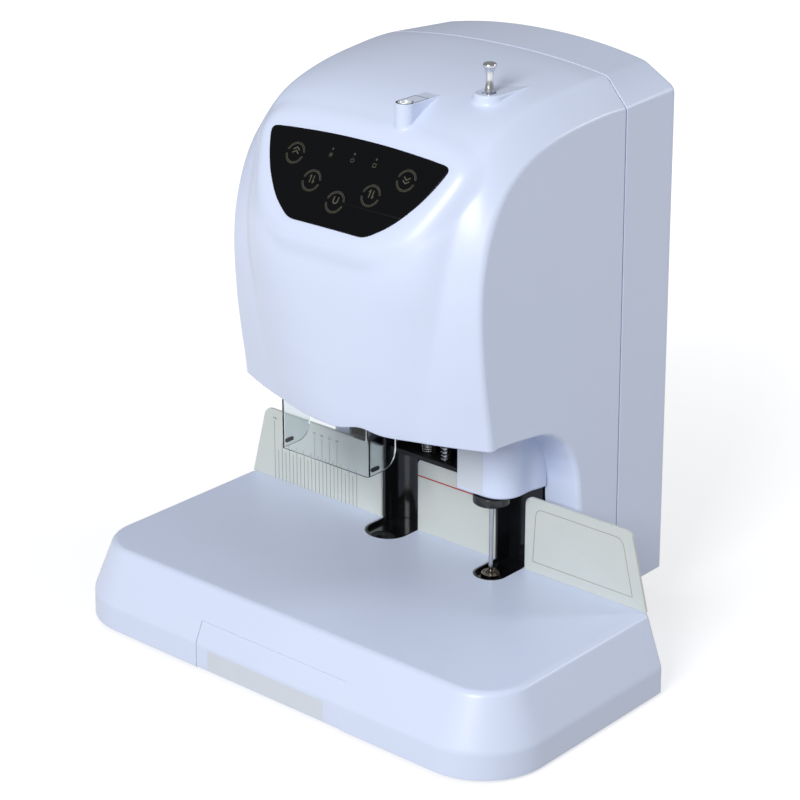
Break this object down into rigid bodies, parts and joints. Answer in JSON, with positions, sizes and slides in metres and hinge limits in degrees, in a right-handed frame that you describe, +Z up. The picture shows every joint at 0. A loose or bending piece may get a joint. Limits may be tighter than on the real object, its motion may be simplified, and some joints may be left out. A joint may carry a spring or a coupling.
{
  "type": "document riveting machine",
  "caption": "Desk machine with a drill head and a heated press head under a tall hood, wide work table with chip drawer, backstop plates and pull knob.",
  "frame": {"origin": "under the middle of the machine's overall box, on the surface its feet stand on", "axes": "+X to the user's right, +Y to the back, +Z up"},
  "size_m": [0.46, 0.345, 0.4892],
  "materials": {
    "cover_white": "satin moulded ABS",
    "plate_grey": "powder coat, pale grey green",
    "card_grey": "matt film",
    "panel_black": "gloss black overlay",
    "liner_black": "semi-gloss black",
    "rubber_black": "matt",
    "bright_steel": "ground",
    "spring_steel": "drawn wire",
    "chrome": "polished",
    "black_steel": "black",
    "alloy": "machined",
    "heater_brass": "machined",
    "motor_steel": "zinc plated",
    "clear_acrylic": "clear bent sheet",
    "board_green": "solder mask",
    "psu_metal": "folded sheet",
    "black_nylon": "moulded",
    "inlet_metal": "turned",
    "screw_zinc": "zinc plated"
  },
  "bodies": {
    "base": {"base_cover": "cover_white", "chassis_plate": "black_steel", "tower_plinth": "black_steel", "rubber_feet": "rubber_black", "drawer_rails": "black_steel", "left_backstop": "plate_grey", "middle_backstop": "plate_grey", "right_backstop": "plate_grey", "drill_slot_liner": "liner_black", "drill_pad": "liner_black", "chip_chute": "liner_black", "press_slot_liner": "liner_black", "rivet_die": "bright_steel", "die_holder": "alloy", "frame_left_plate": "black_steel", "frame_right_plate": "black_steel", "frame_back_plate": "black_steel", "frame_top_plate": "black_steel", "lower_guide_plate": "black_steel", "guide_rods": "bright_steel", "buffer_springs": "spring_steel", "feed_motors": "motor_steel", "press_head_housing": "cover_white", "front_cover": "cover_white", "rear_cover": "cover_white", "control_panel": "panel_black", "panel_board": "board_green", "tube_inlet_bush": "inlet_metal", "tube_guide": "liner_black", "blank_cards": "card_grey", "power_supply": "psu_metal", "main_board": "board_green", "power_inlet": "black_nylon", "switch_frame": "black_nylon", "fuse_holder": "black_nylon", "drill_guard": "clear_acrylic", "guard_bracket": "black_steel", "screws": "screw_zinc"},
    "drill_head": {"drill_carriage": "alloy", "spindle_bearings": "bright_steel", "drill_motor": "motor_steel", "drive_belt": "rubber_black"},
    "spindle": {"drill_spindle": "bright_steel", "drill_bit": "bright_steel", "spindle_pulley": "alloy"},
    "motor_rotor": {"motor_shaft": "bright_steel", "motor_pulley": "alloy"},
    "drill_screw": {"drill_feed_screw": "bright_steel"},
    "press_screw": {"press_feed_screw": "bright_steel"},
    "press_head": {"press_carriage": "alloy", "heater_block": "heater_brass", "hot_die": "bright_steel", "insulating_sleeve": "liner_black"},
    "pin_group": {"guide_pin": "bright_steel", "pin_lift_link": "alloy", "pull_rod": "bright_steel", "pull_knob": "chrome"},
    "drawer": {"chip_drawer": "cover_white", "drawer_card": "card_grey"},
    "rocker": {"power_rocker": "black_nylon"}
  },
  "joints": [
    {"name": "drill_feed", "type": "slide", "parent": "base", "child": "drill_head", "axis": [0, 0, -1], "range_m": [0, 0.093]},
    {"name": "drill_spin", "type": "hinge", "parent": "drill_head", "child": "spindle", "pos_m": [-0.0415, 0.0145, 0.303], "axis": [0, 0, 1], "continuous": true},
    {"name": "motor_spin", "type": "hinge", "parent": "drill_head", "child": "motor_rotor", "pos_m": [-0.08, 0.0275, 0.363], "axis": [0, 0, 1], "continuous": true},
    {"name": "drill_screw_spin", "type": "hinge", "parent": "base", "child": "drill_screw", "pos_m": [-0.02, 0.0495, 0.303], "axis": [0, 0, 1], "continuous": true},
    {"name": "press_feed", "type": "slide", "parent": "base", "child": "press_head", "axis": [0, 0, -1], "range_m": [0, 0.06]},
    {"name": "press_screw_spin", "type": "hinge", "parent": "base", "child": "press_screw", "pos_m": [0.075, 0.0415, 0.303], "axis": [0, 0, 1], "continuous": true},
    {"name": "pin_lift", "type": "slide", "parent": "base", "child": "pin_group", "axis": [0, 0, 1], "range_m": [0, 0.055]},
    {"name": "drawer_slide", "type": "slide", "parent": "base", "child": "drawer", "axis": [0, -1, 0], "range_m": [0, 0.12]},
    {"name": "switch_rock", "type": "hinge", "parent": "base", "child": "rocker", "pos_m": [0.038, 0.1655, 0.078], "axis": [0, 0, 1], "range_deg": [-12, 0]}
  ],
  "couplings": [
    {"joint": "motor_spin", "follows": "drill_spin", "ratio": 1.5208},
    {"joint": "drill_screw_spin", "follows": "drill_feed", "rad_per_m": 785.4},
    {"joint": "press_screw_spin", "follows": "press_feed", "rad_per_m": 785.4}
  ]
}
